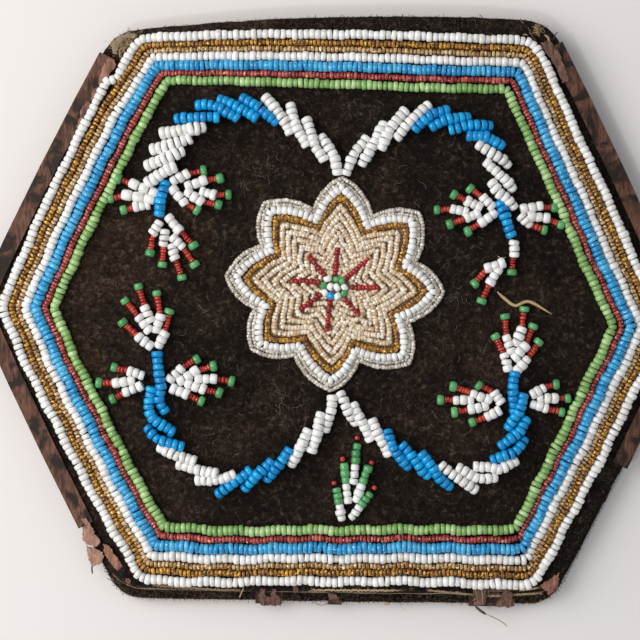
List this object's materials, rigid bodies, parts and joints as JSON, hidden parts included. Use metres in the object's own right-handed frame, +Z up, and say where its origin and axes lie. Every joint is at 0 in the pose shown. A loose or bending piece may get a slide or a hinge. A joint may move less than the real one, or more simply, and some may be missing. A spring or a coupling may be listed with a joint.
{
  "type": "beaded bag",
  "caption": "Flat hexagonal velvet pouch with an open top, cotton linings and silk binding, its front covered with a glass bead border, a petalled star and curling sprays.",
  "frame": {"origin": "middle of the bag's bounding box, on the surface it lies on", "axes": "+Y towards the open mouth, +Z up out of the beaded front, +X to the right as the front is seen from above"},
  "size_m": [0.1784, 0.1479, 0.0124],
  "materials": {
    "velvet": "worn pile",
    "cotton": "plain weave",
    "silk": "worn ribbon",
    "white_beads": "gloss",
    "amber_beads": "gloss",
    "border_blue_beads": "gloss",
    "border_red_beads": "gloss",
    "border_green_beads": "gloss",
    "clear_beads": "gloss",
    "blush_beads": "gloss",
    "ray_beads": "gloss",
    "blue_beads": "gloss",
    "fan_beads": "gloss",
    "plant_beads": "gloss"
  },
  "bodies": {
    "root": {"back_velvet": "velvet", "back_lining": "cotton", "front_lining": "cotton", "front_velvet": "velvet", "ribbon_left": "silk", "ribbon_right": "silk", "ribbon_remnant_1": "silk", "ribbon_remnant_2": "silk", "ribbon_remnant_3": "silk", "border_white_outer": "white_beads", "border_amber_outer": "amber_beads", "border_amber_inner": "amber_beads", "border_white_inner": "white_beads", "border_blue": "border_blue_beads", "border_red": "border_red_beads", "border_green": "border_green_beads", "star_clear": "clear_beads", "star_white": "white_beads", "star_amber": "amber_beads", "star_fill_1": "blush_beads", "star_fill_2": "blush_beads", "star_fill_3": "blush_beads", "star_fill_4": "blush_beads", "star_rays": "ray_beads", "star_heart": "white_beads", "upper_left_near": "white_beads", "upper_left_middle": "blue_beads", "upper_left_far": "white_beads", "upper_left_stem": "blue_beads", "upper_right_near": "white_beads", "upper_right_middle": "blue_beads", "upper_right_far": "white_beads", "upper_right_stem": "blue_beads", "lower_left_near": "white_beads", "lower_left_middle": "blue_beads", "lower_left_far": "white_beads", "lower_left_stem": "blue_beads", "lower_right_near": "white_beads", "lower_right_middle": "blue_beads", "lower_right_far": "white_beads", "lower_right_stem": "blue_beads", "upper_left_fan_left": "fan_beads", "upper_left_fan_right": "fan_beads", "upper_left_fan_low": "fan_beads", "upper_right_fan_left": "fan_beads", "upper_right_fan_right": "fan_beads", "upper_right_fan_low": "fan_beads", "lower_left_fan_top": "fan_beads", "lower_left_fan_left": "fan_beads", "lower_left_fan_right": "fan_beads", "lower_right_fan_top": "fan_beads", "lower_right_fan_left": "fan_beads", "lower_right_fan_right": "fan_beads", "plant": "plant_beads"}
  },
  "joints": []
}
